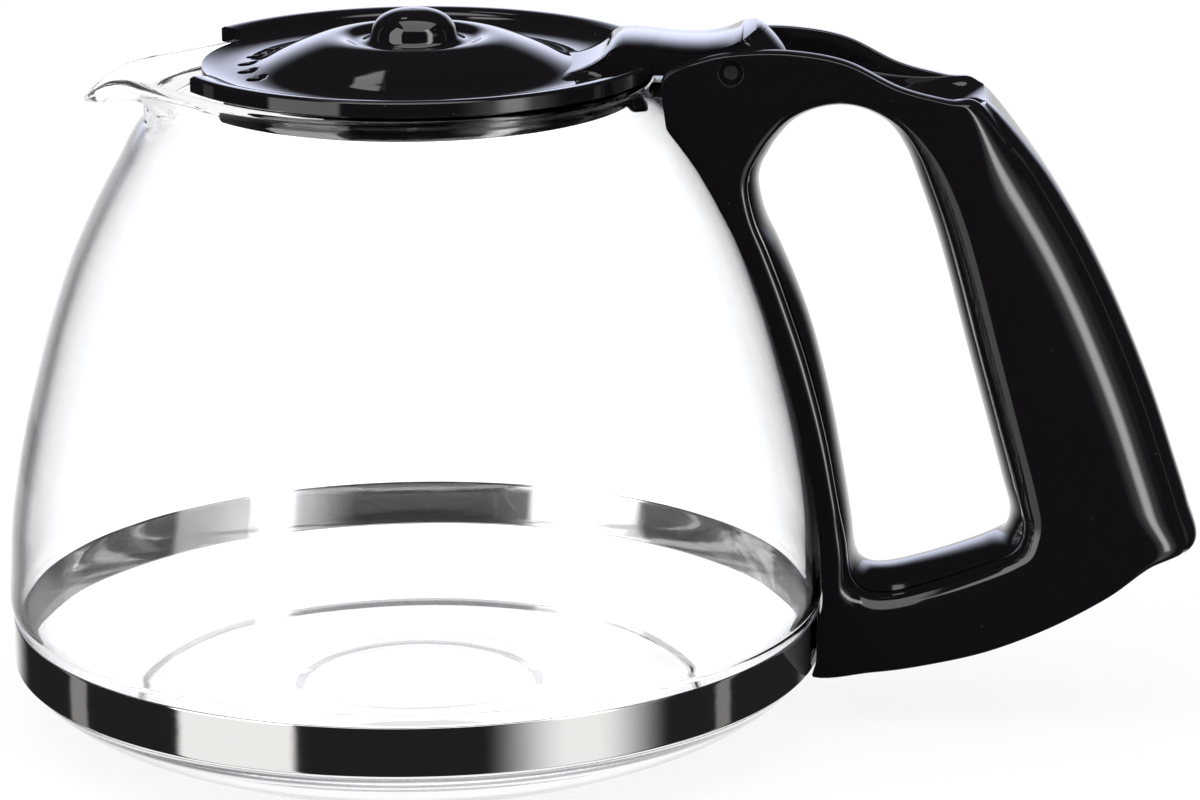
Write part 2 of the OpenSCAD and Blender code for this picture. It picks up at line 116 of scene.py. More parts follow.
def soften(points, cut_back, steps=4, least_turn=0.3):
    """The same open line with each sharp corner turned into a short curve."""
    out = [Vector(points[0])]
    for a, b, c in zip(points, points[1:], points[2:]):
        a, b, c = Vector(a), Vector(b), Vector(c)
        before, after = (a - b), (c - b)
        if min(before.length, after.length) < 1e-6 or before.angle(-after) < least_turn:
            out.append(b)
            continue
        start = b + before.normalized() * min(cut_back, before.length / 2.1)
        end = b + after.normalized() * min(cut_back, after.length / 2.1)
        out += [rounded(start, b, end, s / steps) for s in range(steps + 1)]
    return [tuple(p) for p in out] + [tuple(points[-1])]


def inward(points, depth):
    """The line moved square to itself, towards the axis when the depth is positive."""
    out = []
    for i, p in enumerate(points):
        a, b = points[max(i - 1, 0)], points[min(i + 1, len(points) - 1)]
        along = Vector((b[0] - a[0], b[1] - a[1])).normalized()
        out.append((p[0] - depth * along.y, p[1] + depth * along.x))
    return out


def pick(active, *others):
    """Selects these pieces alone, the first of them as the active one."""
    bpy.ops.object.select_all(action="DESELECT")
    bpy.context.view_layer.objects.active = active
    for piece in (active, *others):
        piece.select_set(True)


def start_mesh(name, points, edges, faces):
    """A new piece from points in metres, left in edit mode with all of it selected."""
    mesh = bpy.data.meshes.new(name)
    mesh.from_pydata(points, edges, faces)
    piece = bpy.data.objects.new(name, mesh)
    bpy.context.collection.objects.link(piece)
    pick(piece)
    bpy.ops.object.mode_set(mode="EDIT")
    bpy.ops.mesh.select_all(action="SELECT")
    return piece


def end_mesh():
    """Turns all faces of the piece outward and leaves edit mode."""
    bpy.ops.mesh.select_all(action="SELECT")
    bpy.ops.mesh.normals_make_consistent(inside=False)
    bpy.ops.object.mode_set(mode="OBJECT")


def spin_line(name, line, turn=360.0, start=0.0, steps=240, closed=False):
    """Spins a line of (radius, height) points about Z: a whole turn, or part of one."""
    c, s = math.cos(math.radians(start)), math.sin(math.radians(start))
    edges = [(i, i + 1) for i in range(len(line) - 1)] + ([(len(line) - 1, 0)] if closed else [])
    piece = start_mesh(name, [(p[0] * mm * c, p[0] * mm * s, p[1] * mm) for p in line], edges, [])
    bpy.ops.mesh.spin(steps=steps, angle=-math.radians(turn), center=(0, 0, 0), axis=(0, 0, 1))
    bpy.ops.mesh.select_all(action="SELECT")
    bpy.ops.mesh.remove_doubles(threshold=1e-6)
    if turn < 360 and closed:
        bpy.ops.mesh.select_all(action="DESELECT")
        bpy.ops.mesh.select_non_manifold()
        bpy.ops.mesh.edge_face_add()
    end_mesh()
    return piece


def shade(piece, angle=42):
    pick(piece)
    bpy.ops.object.shade_smooth_by_angle(angle=math.radians(angle))


def limited(value):
    return min(max(value, 0), 1)


def eased(t):
    return t * t * (3 - 2 * t)


def share_at(height, column):
    """The share of the lip's reach (column 2) or drop (column 3) at a height of the neck."""
    if height <= neck_line[0][1]:
        return 0.0
    for low, high in zip(neck_line, neck_line[1:]):
        if height < high[1]:
            t = (height - low[1]) / (high[1] - low[1])
            t = eased(t) if column == 2 and low[2] == 0 else t
            return low[column] + t * (high[column] - low[column])
    return 1.0


def lip_out(turn):
    """The share of the lip's reach at an angle in degrees from its point."""
    if abs(turn) >= lip_half:
        return 0.0
    return (math.exp((lip_nose - math.hypot(turn, lip_nose)) / lip_spread)
            * (1 - (abs(turn) / lip_half) ** 4))


class Wire:
    """A shader socket that takes part in sums: each operator adds its Math node."""

    def __init__(self, look, socket):
        self.look = look
        self.socket = socket

    def math(self, operation, *others):
        return self.look.node("Math", {"operation": operation}, self, *others)

    def other(self, name):
        return Wire(self.look, self.socket.node.outputs[name])

    def __add__(self, other):
        return self.math("ADD", other)

    def __radd__(self, other):
        return self.math("ADD", other)

    def __mul__(self, other):
        return self.math("MULTIPLY", other)

    def __rmul__(self, other):
        return self.math("MULTIPLY", other)

    def __sub__(self, other):
        return self.math("SUBTRACT", other)

    def __rsub__(self, other):
        return self.look.node("Math", {"operation": "SUBTRACT"}, other, self)

    def __truediv__(self, other):
        return self.math("DIVIDE", other)


class Look:
    """A material or a world, with one method that adds any node."""

    def __init__(self, name, block=None):
        self.block = block or bpy.data.materials.new(name)
        self.block.use_nodes = True
        self.tree = self.block.node_tree
        self.tree.nodes.clear()
        kind = "OutputWorld" if block else "OutputMaterial"
        self.output = self.tree.nodes.new("ShaderNode" + kind)

    def node(self, kind, settings, *values, out=0, picked=None, **named):
        made = self.tree.nodes.new("ShaderNode" + kind)
        for key, value in settings.items():
            setattr(made, key, value)
        sockets = dict(enumerate(values))
        sockets.update(picked or {})
        sockets.update({key.replace("_", " "): value for key, value in named.items()})
        for key, value in sockets.items():
            socket = made.inputs[key]
            if isinstance(value, Wire):
                self.tree.links.new(value.socket, socket)
            else:
                socket.default_value = value
        return Wire(self, made.outputs[out])

    def place(self, scale):
        """The point on the piece, in its own frame, stretched by a scale for each axis."""
        return self.node("Mapping", {}, self.node("TexCoord", {}, out="Object"), Scale=scale)

    def noise(self, scale, detail=2.0):
        return self.node("TexNoise", {}, self.place(scale), Scale=1.0, Detail=detail)

    def blend(self, share, none, full):
        """A colour between two, by a share from 0 to 1."""
        return self.node("Mix", {"data_type": "RGBA"}, share, out=2, picked={6: none, 7: full})

    def step_up(self, value, start, end):
        """0 below the start and 1 above the end, with a soft rise between them."""
        return self.node("MapRange", {"interpolation_type": "SMOOTHSTEP"},
                         value, start, end, 0.0, 1.0)

    def bump(self, height, distance):
        return self.node("Bump", {}, Strength=1.0, Distance=distance, Height=height)

    def finish(self, shader, *pieces):
        self.tree.links.new(shader.socket, self.output.inputs["Surface"])
        for piece in pieces:
            piece.data.materials.clear()
            piece.data.materials.append(self.block)


outer = (smooth(foot_line, 5)
         + [(groove_r, band_z - band_fit), (groove_r, band_top + band_fit)]
         + smooth(belly_line + [row[:2] for row in neck_line], 5))
inner = inward(outer, wall)
top_out, top_in = Vector(outer[-1]), Vector(inner[-1])
middle, across = (top_out + top_in) / 2, (top_out - top_in) / 2
along = Vector((outer[-1][0] - outer[-2][0], outer[-1][1] - outer[-2][1])).normalized()
bead = [tuple(middle + across * math.cos(g) + along * across.length * math.sin(g))
        for g in (math.radians(k) for k in range(15, 180, 15))]
foot_under = soften([(0, hollow + push_h), (push_r - push_h, hollow + push_h),
                     (push_r + push_h, hollow), (foot_r - ring_w - hollow, hollow),
                     (foot_r - ring_w, 0), (foot_r, 0), outer[1]], foot_soft, 6)[:-1]
base_top = smooth([(heel_r, base_z), (40, base_z), (push_r + 5, base_z + 0.03),
                   (push_r + 1.5, base_z + 0.22), (push_r - 1.5, base_z + 0.6),
                   (push_r - 5, base_z + push_h * 0.8), (8, base_z + push_h * 0.95),
                   (0, base_z + push_h)], 4)[1:]
floor_in = smooth([inner[heel_row], (62.5, 4.75), (58.5, base_z + 0.35), (heel_r, base_z)], 6)[1:]
glass_line = foot_under + outer[1:] + bead + inner[:heel_row - 1:-1] + floor_in + base_top
jug = spin_line("blown_glass_jug", glass_line, steps=jug_steps)
for point in jug.data.vertices:
    x, y, z = (v / mm for v in point.co)
    radius = math.hypot(x, y)
    if radius < axis_r:
        continue
    turn = math.degrees(math.atan2(y, -x))
    if z > neck_line[0][1]:
        out_by = lip_reach * lip_out(turn) * share_at(z, 2)
        fall = lip_drop * math.exp(-(turn / spout_turn) ** 2) * share_at(z, 3)
        grow = (radius + out_by) / radius
        x, y, z = x * grow, y * grow, z - fall
    point.co = Vector((x, y, z)) * mm
shade(jug, 60)
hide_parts("glass_jug")
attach(jug, "jug")
clear_tint = (0.985, 0.988, 1, 1)
# The colour of the painted shade along the glass's outlines, and how edge-on the wall must be for
# it
edge_shade_tint = (0.3, 0.3, 0.37, 1)
edge_from, edge_full = 0.77, 0.9
foot_zone = 0.017
lip_zone = -0.0375
glass_look = Look("clear glass")
blown = glass_look.noise((26, 26, 20), 1.0)
# Painted shade: where the wall is seen edge on, the glass's colour is darkened towards a lavender
# grey, which draws its dark outlines
painted_edge_shade = glass_look.step_up(glass_look.node("LayerWeight", {}, out="Facing"),
                             edge_from, edge_full)
clear_glass = glass_look.node(
    "BsdfPrincipled", {}, Base_Color=glass_look.blend(painted_edge_shade, clear_tint, edge_shade_tint),
    Roughness=0.0, IOR=1.47, Transmission_Weight=1.0, Specular_IOR_Level=0.25,
    Normal=glass_look.bump(blown, 0.00022))
# Light that runs on inside the thick foot or the lip comes out after its second mirroring
spot = glass_look.node("SeparateXYZ", {}, glass_look.node("TexCoord", {}, out="Object"), out="X")
in_foot = spot.other("Z").math("LESS_THAN", foot_zone)
in_lip = spot.math("LESS_THAN", lip_zone)
mirrored = glass_look.node("LightPath", {}, out="Glossy Depth").math("GREATER_THAN", 1.5)
trapped = mirrored * in_foot.math("MAXIMUM", in_lip)
glass_look.finish(glass_look.node("MixShader", {}, trapped, clear_glass,
                                  glass_look.node("BsdfTransparent", {})), jug)

# The band is a strip of polished stainless steel, half a millimetre thick, that runs in the groove
# of the glass. Its two ends turn out into tabs inside the handle's foot, where the screw draws
# them together.
strip_t = 0.5
strip_r = groove_r + band_fit + strip_t / 2
strip_edge = 0.35
strip_mid = 4.4
strip_round = 0.14
tab_space = 1.6
tab_half = tab_space / 2 + strip_t / 2
tab_l = 9
gap_turn = math.degrees(math.asin(tab_half / strip_r))
strip = spin_line("steel_band", [(strip_r, z) for z in (band_z, band_z + strip_edge,
                                                        band_z + strip_mid,
                                                        band_top - strip_edge, band_top)],
                  turn=360 - 2 * gap_turn, start=gap_turn, steps=360)
bpy.ops.object.mode_set(mode="EDIT")
mesh = bmesh.from_edit_mesh(strip.data)
for side in (1, -1):
    bpy.ops.mesh.select_all(action="DESELECT")
    for edge in mesh.edges:
        ends = [v.co for v in edge.verts]
        edge.select = all(v.x > 0 and abs(v.y - side * tab_half * mm) < 1e-5 for v in ends)
    mesh.select_flush(True)
    bpy.ops.mesh.extrude_region_move(TRANSFORM_OT_translate={"value": (tab_l * mm, 0, 0)})
    bmesh.update_edit_mesh(strip.data)
    mesh = bmesh.from_edit_mesh(strip.data)
end_mesh()


def modify(piece, kind, **settings):
    """Adds a modifier to the piece and applies it."""
    bpy.context.view_layer.objects.active = piece
    modifier = piece.modifiers.new(kind.lower(), kind)
    for key, value in settings.items():
        setattr(modifier, key, value)
    bpy.ops.object.modifier_apply(modifier=modifier.name)


def round_edges(piece, width, segments=3, angle=40):
    """Rounds the edges that turn by more than the angle, in degrees."""
    modify(piece, "BEVEL", width=width * mm, segments=segments, limit_method="ANGLE",
           angle_limit=math.radians(angle))


modify(strip, "SOLIDIFY", thickness=strip_t * mm, offset=0)
round_edges(strip, strip_round, angle=50)
shade(strip, 40)
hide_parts("base_band")
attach(strip, "jug")
strip_look = Look("polished steel")
drawn = strip_look.noise((30, 30, 2600))
smears = strip_look.noise((70, 70, 110), 3.0)
strip_look.finish(strip_look.node(
    "BsdfPrincipled", {}, Metallic=1.0, Base_Color=(0.66, 0.65, 0.635, 1),
    Roughness=0.02 + 0.05 * drawn + 0.03 * smears,
    Normal=strip_look.bump(smears + 0.1 * drawn, 0.00003)), strip)

# The handle is one moulded loop of gloss black plastic. Its section changes all the way round:
# square by the lid, a large soft rounding down the spine, a flat bar along the glass. The cheeks
# of its head carry the hinge pin, and a steel screw clamps its foot to the band.
half_w = 13.5
slot_half = 10.5
slot_top = 118.6
slot_start = 30
slot_limit = 14
slot_above_share = 0.93
slot_before_share = 0.66
scoop_start_share = 0.42
scoop_fade_share = 0.14
well_gap = 0.5
just_out = 0.02
rim_soft = 0.5
liner_t = 2.0
liner_gap = 0.2
edge_r = 0.6
edge_w = 2.6
spine_depth = 14
spine_flat = 1
least_core = 9
foot_below_share = 0.36
foot_fade_share = 0.1
# How far the lip round the finger hole is rolled: at the head, down the spine, at the foot
roll_depths = (2.2, 6, 5)
roll_widths = (1.5, 4, 4.6)
handle_gap = 1.1
lid_r = 44.008
lid_shift = 1
lid_clear = 2.4
hinge = Vector((58.008, 121.1))
tail = 12
grip_start = 42.0
grip_span = 100
# Each row is one station of the loop, in shares of its span and of the jug's height: a point on
# the finger hole, a point on the outer edge, and how much it has of the spine's large rounding
grip_shares = [
    [0.226, 0.878, 0.04, 1.011, 0], [0.245, 0.903, 0.105, 1.036, 0],
    [0.275, 0.929, 0.18, 1.047, 0], [0.315, 0.945, 0.27, 1.047, 0],
    [0.36, 0.95, 0.365, 1.032, 0], [0.405, 0.941, 0.46, 0.993, 0],
    [0.443, 0.92, 0.545, 0.974, 0.15], [0.473, 0.882, 0.612, 0.965, 0.45],
    [0.498, 0.828, 0.705, 0.873, 0.8], [0.526, 0.761, 0.774, 0.782, 1],
    [0.552, 0.685, 0.832, 0.689, 1], [0.578, 0.601, 0.881, 0.596, 1],
    [0.604, 0.521, 0.925, 0.502, 1], [0.629, 0.445, 0.963, 0.407, 1],
    [0.653, 0.37, 0.99, 0.336, 0.9], [0.669, 0.315, 1.003, 0.277, 0.6],
    [0.656, 0.277, 0.92, 0.25, 0.2], [0.62, 0.262, 0.84, 0.203, 0],
    [0.56, 0.245, 0.74, 0.156, 0], [0.5, 0.231, 0.63, 0.118, 0],
    [0.445, 0.221, 0.52, 0.095, 0], [0.408, 0.224, 0.42, 0.082, 0],
    [0.388, 0.248, 0.3, 0.078, 0], [0.379, 0.303, 0.3, 0.168, 0],
    [0.369, 0.357, 0.29, 0.269, 0], [0.35, 0.45, 0.285, 0.387, 0],
    [0.33, 0.529, 0.27, 0.487, 0], [0.306, 0.605, 0.24, 0.58, 0],
    [0.278, 0.672, 0.2, 0.672, 0], [0.248, 0.731, 0.155, 0.756, 0],
    [0.222, 0.777, 0.105, 0.832, 0], [0.209, 0.824, 0.045, 0.908, 0],
    [0.212, 0.853, 0.03, 0.958, 0]]


def grip(x_share, z_share):
    return Vector((grip_start + grip_span * x_share, jug_h * z_share))


def mix(a, b, t):
    return a + (b - a) * t


def loft(name, rings):
    """A closed loop of equal rings, as a swept section whose shape changes on the way."""
    n, m = len(rings[0]), len(rings)
    faces = [(i * n + j, i * n + (j + 1) % n,
              ((i + 1) % m) * n + (j + 1) % n, ((i + 1) % m) * n + j)
             for i in range(m) for j in range(n)]
    piece = start_mesh(name, [Vector(p) * mm for ring in rings for p in ring], [], faces)
    bpy.ops.mesh.remove_doubles(threshold=2e-6)
    end_mesh()
    return piece


# The floor of the lever's slot: a well round the lever's tail, then the scoop for the thumb
well = [(235, 0.9), (262, 0.64), (285, 0.66), (305, 0.84), (318, 1), (330, 1), (345, 1)]
scoop = [(0.34, 0.986), (0.4, 0.979), (0.45, 0.966), (0.495, 0.951), (0.54, 0.944),
         (0.58, 0.949), (0.61, 0.966), (0.64, 0.99)]
slot_floor = [Vector((slot_start, slot_top)), Vector((hinge.x - 0.7 * tail, slot_top))]
for angle, share in well:
    way = Vector((math.cos(math.radians(angle)), math.sin(math.radians(angle))))
    slot_floor.append(hinge + (share * tail + well_gap) * way)
slot_floor += [Vector(p) for p in smooth([tuple(grip(*shares)) for shares in scoop], 6)]


def slot_depth(start, way):
    """How far along a ray from the outer edge the slot's floor lies; none outside the slot."""
    best = None
    for a, b in zip(slot_floor, slot_floor[1:]):
        span = b - a
        cross = way.x * span.y - way.y * span.x
        if abs(cross) < 1e-9:
            continue
        t = ((a - start).x * span.y - (a - start).y * span.x) / cross
        s = ((a - start).x * way.y - (a - start).y * way.x) / cross
        if t > 0 and 0 <= s <= 1 and (best is None or t < best):
            best = t
    return best or 0.0


# The line that the handle keeps clear of: the glass with its gap, and the lid's rim over it
space_line = inward(foot_line + [(groove_r, band_z - band_fit), (groove_r, band_top + band_fit)]
                    + smooth(belly_line + [neck_line[0][:2]], 4), -handle_gap)
space_line += [(lid_r + lid_shift + lid_clear + handle_gap, neck_line[2][1]),
               (lid_r + lid_shift + lid_clear, 119.4), (lid_r + lid_shift + lid_clear, 140)]


def glass_limit(z):
    for a, b in zip(space_line, space_line[1:]):
        if a[1] <= z <= b[1]:
            return a[0] + (b[0] - a[0]) * (z - a[1]) / max(b[1] - a[1], 1e-6)
    return 0.0


def handle_ring(row):
    """One section of the handle: from the finger hole out to the edge, and back by its mirror."""
    hole, edge = grip(row[0], row[1]), grip(row[2], row[3])
    span = (edge - hole).length
    way = (edge - hole) / span
    k = eased(limited(row[4]))
    depth = mix(edge_r, min(spine_depth, span - least_core), k)
    side = mix(edge_w, half_w - spine_flat, k)
    low = limited((foot_below_share - row[1]) / foot_fade_share) * (1 - k)
    in_depth, in_side = (mix(mix(head, spine, k), foot, low)
                         for head, spine, foot in (roll_depths, roll_widths))
    start = liner_t + liner_gap
    drop = 0.0
    if row[3] > slot_above_share and row[2] < slot_before_share:
        drop = slot_depth(edge + just_out * way, -way)
        drop = drop if drop < slot_limit else 0.0
    hollow_by = limited((row[2] - scoop_start_share) / scoop_fade_share) ** 1.5

    def floor_at(y):
        return span - drop * (1 - hollow_by * (y / slot_half) ** 2)

    def outer_at(y):
        reach = (y - (half_w - side)) / side
        if reach <= 0:
            return span
        return span - depth + depth * math.sqrt(max(0, 1 - min(reach, 1) ** 2))

    half = [(start, half_w - in_side)]
    half += [(start + in_depth * (1 - math.cos(g)), half_w - in_side + in_side * math.sin(g))
             for g in (math.radians(10 * s) for s in range(1, 10))]
    half += [(mix(start + in_depth, span - depth, s / 6), half_w) for s in range(1, 6)]
    ys = [half_w - (half_w - slot_half - rim_soft) * (1 - math.cos(math.radians(90 * s / 14)))
          for s in range(15)]
    half += [(outer_at(y), y) for y in ys]
    top_at = outer_at(slot_half)
    low_at = min(floor_at(slot_half), top_at)
    round_by = min(rim_soft, (top_at - low_at) / 2)
    half += [(top_at - round_by * t * t + (outer_at(slot_half + rim_soft) - top_at) * (1 - t) ** 2,
              slot_half + rim_soft * (1 - t) ** 2) for t in (0.25, 0.5, 0.75, 1)]
    half += [(low_at + round_by * (1 - t) ** 2, slot_half - rim_soft * t * t)
             for t in (0, 0.25, 0.5, 0.75, 1)]
    half += [(min(outer_at(y), floor_at(y)), y) for y in (8.6, 7.2, 5.8, 4.4, 3, 1.6, 0.4)]
    ring = []
    for q, y in half + [(q, -y) for q, y in reversed(half)]:
        x, z = hole + way * q
        limit = glass_limit(z)
        if math.hypot(x, y) < limit:
            x = math.sqrt(max(limit ** 2 - y ** 2, 0))
        ring.append((x, y, z))
    return ring


rows = smooth([tuple(row) for row in grip_shares], 8, closed=True)
handle = loft("moulded_handle", [handle_ring(row) for row in rows])


def cut(piece, tool):
    """Cuts the tool out of the piece and takes the tool away."""
    pick(piece)
    modify(piece, "BOOLEAN", object=tool, operation="DIFFERENCE", solver="EXACT")
    bpy.data.objects.remove(tool)


def lay_along_y(piece, x, z):
    """Turns a piece spun about Z so that its axis lies along Y through the given point."""
    piece.data.transform(Matrix.Translation((x * mm, 0, z * mm))
                         @ Matrix.Rotation(-math.pi / 2, 4, "X"))


pin_r = 1.3
recess_r = 2.15
recess_depth = 1
bore_soft = 0.3
over = 0.05
beyond = 20
recess = [(pin_r, half_w - recess_depth), (recess_r, half_w - recess_depth),
          (recess_r, half_w - bore_soft), (2.45, half_w + over), (2.6, beyond), (0, beyond)]
pin_bore = spin_line("pin bore", [(r, -y) for r, y in recess[::-1]] + recess, steps=48)
lay_along_y(pin_bore, hinge.x, hinge.y)
cut(handle, pin_bore)
screw_x = 78.8
screw_z = 15.6
screw_r = 1.65
screw_end = -9
head_r = 3.2
head_y = 10.3
screw_bore = spin_line("screw bore", [(0, screw_end), (screw_r, screw_end), (screw_r, head_y),
                                      (head_r, head_y), (head_r, half_w - bore_soft),
                                      (3.55, half_w + over), (3.6, beyond), (0, beyond)],
                       steps=48)
lay_along_y(screw_bore, screw_x, screw_z)
cut(handle, screw_bore)
# The pocket in the foot takes the band's tabs and the nut
pocket_place = (76.5, -1.4, screw_z)
pocket_size = (15, 6.2, 9.6)
bpy.ops.object.select_all(action="DESELECT")
bpy.ops.mesh.primitive_cube_add(size=1)
pocket = bpy.context.object
pocket.data.transform(Matrix.Translation([v * mm for v in pocket_place])
                      @ Matrix.Diagonal([v * mm for v in pocket_size] + [1]))
cut(handle, pocket)
shade(handle)
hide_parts("handle_shell")
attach(handle, "jug")


def gloss_plastic(name, piece, gloss=0.035, ripple=0.00002, dusty=0.86):
    """Moulded gloss black: faint ripples, hairline scratches, and a few specks of dust."""
    speck_scale, speck_r = (520, 520, 520), 0.045
    hair_scale, hair_above = (1400, 90, 260), 0.71
    clean, dirt = (0.0035, 0.003, 0.0038, 1), (0.1, 0.095, 0.095, 1)
    look = Look(name)
    specks = look.node("TexVoronoi", {}, look.place(speck_scale), Scale=1.0)
    chance = look.node("SeparateColor", {}, specks.other("Color"))
    dust = specks.math("LESS_THAN", speck_r) * chance.math("GREATER_THAN", dusty)
    hairs = look.noise(hair_scale).math("GREATER_THAN", hair_above)
    ripples = look.noise((45, 45, 45), 1.0)
    look.finish(look.node(
        "BsdfPrincipled", {}, IOR=1.5,
        Base_Color=look.blend(dust, clean, dirt),
        Roughness=gloss + 0.05 * hairs + 0.3 * dust + 0.02 * ripples,
        Normal=look.bump(ripples + 0.02 * hairs, ripple)), piece)


gloss_plastic("gloss black plastic", handle)

# The claw is a nose on the handle's head that reaches under the bead of the glass rim, so the
# handle can't lift off once the band is tight. It is moulded in one with the handle.
claw_turn = 12
claw_line = [(44.05, 114.85), (43.3, 115.95), (43.45, 116.9), (43.98, 117.6), (49.6, 117.6),
             (49.6, 114.85)]
claw = spin_line("rim_claw", claw_line, turn=claw_turn, start=-claw_turn / 2, steps=12,
                 closed=True)
round_edges(claw, 0.5, angle=60)
shade(claw, 50)
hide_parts("handle_shell")
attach(claw, "jug")
gloss_plastic("claw plastic", claw)

# The liner is a second moulding, a soft black strip that lines the finger hole. It is crowned,
# and stands between the rolled lips of the two side faces.
liner_inset = 4.2
liner_half = half_w - liner_inset


def liner_ring(row):
    """One section of the liner: crowned towards the hole and flat against the handle."""
    hole, edge = grip(row[0], row[1]), grip(row[2], row[3])
    way = (edge - hole).normalized()
    half = [(liner_t * math.sin(g) ** 2, liner_half * math.sin(g))
            for g in (math.radians(s) for s in (2, 8, 16, 24, 32, 40, 48, 56, 64, 72, 80, 88))]
    half += [(liner_t, liner_half), (liner_t, liner_half * 0.5)]
    half = half[::-1]
    whole = half + [(q, -y) for q, y in reversed(half)]
    return [(hole.x + way.x * q, y, hole.y + way.y * q) for q, y in whole]


liner = loft("grip_liner_strip", [liner_ring(row) for row in rows])
shade(liner)
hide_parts("grip_liner")
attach(liner, "jug")
gloss_plastic("liner plastic", liner, gloss=0.07, ripple=0.00003)

# The lid is one moulding of the same plastic: a shallow dish with a raised rim, a low dome and a
# round knob in a moat. The rim is open over the pouring lip, behind five drain holes. The thumb
# lever runs from the dish over the hinge pin to its upturned tail.
knob_h = 10.8
lid_t = 1.8
lid_z = jug_h + 0.2
rim_h = 2.9
seat_r = 0.895 * lid_r
seat_h = 1.2
seat_soft = 0.2
knob_line = [(0, 1), (0.055, 0.985), (0.102, 0.935), (0.14, 0.85), (0.164, 0.73), (0.174, 0.61),
             (0.186, 0.51), (0.212, 0.455), (0.25, 0.465), (0.285, 0.53), (0.325, 0.55),
             (0.385, 0.515), (0.465, 0.405), (0.55, 0.26), (0.62, 0.125), (0.67, 0.06),
             (0.73, 0.03), (0.8, 0.05), (0.86, 0.11), (0.895, 0.17)]
rim_line = [(0.918, 0.86), (0.936, 0.93), (0.955, 0.98), (0.972, 1), (0.986, 0.985), (1, 0.86)]
lid_top = [(r * lid_r, h * knob_h) for r, h in knob_line]
lid_low = inward(lid_top, -lid_t)
top_curve = smooth(lid_top, 4)
rim_curve = smooth([lid_top[-1]] + [(r * lid_r, h * rim_h) for r, h in rim_line], 4)[1:]
lid_under = [(lid_r, 0.25), (0.994 * lid_r, 0.05), (0.985 * lid_r, 0), (seat_r + seat_soft, 0),
             (seat_r, -seat_soft), (seat_r, -1.0), (seat_r - seat_soft, -seat_h),
             (seat_r - 3.2, -seat_h)]
low_curve = smooth([lid_low[k] for k in range(16, 0, -1)] + [(0, knob_h - lid_t)], 3)
lid = spin_line("moulded_lid", top_curve + rim_curve + lid_under + low_curve, steps=288)


def prism(name, outline, half, upright=False):
    """A flat outline pulled out to both sides: along Y, or along Z when it lies flat."""
    flat = [(a, b, -half) if upright else (a, -half, b) for a, b in outline]
    piece = start_mesh(name, [Vector(p) * mm for p in flat], [], [tuple(range(len(flat)))])
    way = (0, 0, 2 * half * mm) if upright else (0, 2 * half * mm, 0)
    bpy.ops.mesh.extrude_region_move(TRANSFORM_OT_translate={"value": way})
    end_mesh()
    return piece


def round_about(radius, turn):
    return (radius * math.cos(math.radians(turn)), radius * math.sin(math.radians(turn)))


# The opening over the pouring lip: an arc whose two ends curve out through the rim
pour_half = 31.5
notch_r = 0.866 * lid_r
notch_steps = 40
notch_ends = (180 - pour_half, 180 + pour_half)
fillet = 2.6
fillet_turn = math.degrees(fillet / notch_r)
notch_line = [round_about(notch_r, notch_ends[0] + fillet_turn
                          + k * (2 * pour_half - 2 * fillet_turn) / notch_steps)
              for k in range(notch_steps + 1)]
for end, way in ((notch_ends[0], 1), (notch_ends[1], -1)):
    corner = Vector(round_about(notch_r, end))
    first = Vector(round_about(notch_r + fillet, end))
    last = Vector(round_about(notch_r, end + way * fillet_turn))
    curve = [tuple(rounded(first, corner, last, t)) for t in (0, 0.2, 0.4, 0.6, 0.8)]
    outside = [round_about(notch_r + beyond, end)]
    notch_line = (outside + curve + notch_line if way > 0
                  else notch_line + curve[::-1] + outside)
cut(lid, prism("notch", notch_line, beyond, upright=True))
lid.data.transform(Matrix.Translation((lid_shift * mm, 0, lid_z * mm)))

# Five drain holes with softened mouths
drain_r = 0.689 * lid_r
drain_z = lid_z + 0.15
drain_turn = 13
hole_r = 1.6
mouth_r = 2.6
drill_half = 4
drill_line = [(0, -drill_half), (hole_r, -drill_half), (hole_r, 0.15), (1.8, 0.33),
              (mouth_r, 1.1), (mouth_r, drill_half), (0, drill_half)]
for k in range(-2, 3):
    drill = spin_line("drill", drill_line, steps=40)
    angle = math.radians(180 + drain_turn * k)
    drill.data.transform(Matrix.Translation(((lid_shift + drain_r * math.cos(angle)) * mm,
                                             drain_r * math.sin(angle) * mm, drain_z * mm)))
    cut(lid, drill)
shade(lid)

# The thumb lever is a plate on a web that is a little wider, with a round, falling tail
lever_w = 20
lever_line = [(-2.67, -0.11), (-2.33, -0.05), (-2.08, 0.05), (-1.9, 0.165), (-1.8, 0.265),
              (-1.7, 0.325), (-1.55, 0.345), (-1.2, 0.325), (-0.85, 0.285), (-0.45, 0.275),
              (-0.1, 0.33), (0.13, 0.425), (0.32, 0.515), (0.425, 0.54), (0.7, 0.56), (1.1, 0.56)]
web_line = [(1.1, 0.03), (0.85, 0.03), (0.58, -0.21), (0.2, -0.28), (-0.2, -0.27), (-0.35, -0.09),
            (-1.83, -0.09), (-2.67, -0.15)]
plate_t = 0.7
plate_sunk = 0.15
ledge = 0.35
crest = [(0, 1), (0, 0.54), (0.04, 0.522), (0.125, 0.455), (0.22, 0.36), (0.315, 0.255),
         (0.49, 0.04), (0.75, -0.35), (2, -0.35), (2, 1)]
crest_over = 0.5
crest_share = 0.43
crest_r = lever_w / 2 + crest_over
crest_x = hinge.x + crest_share * tail - crest_r


def by_hinge(line):
    """Points given as shares of the tail's length from the hinge."""
    return [(hinge.x + tail * x, hinge.y + tail * z) for x, z in line]


def under_plate(sunk, back):
    """The line below the lever's plate, from a share of the tail's length behind the hinge."""
    return [p for p in inward(lever_top, sunk - plate_t) if p[0] > hinge.x - back * tail]


def round_tail(piece):
    """Cuts the lever's tail round in plan, with an end that falls away all round its crest."""
    cutter = spin_line("tail cutter",
                       [(crest_r + x * tail, hinge.y + z * tail) for x, z in crest],
                       turn=180, start=-90, steps=72, closed=True)
    cutter.data.transform(Matrix.Translation((crest_x * mm, 0, 0)))
    cut(piece, cutter)


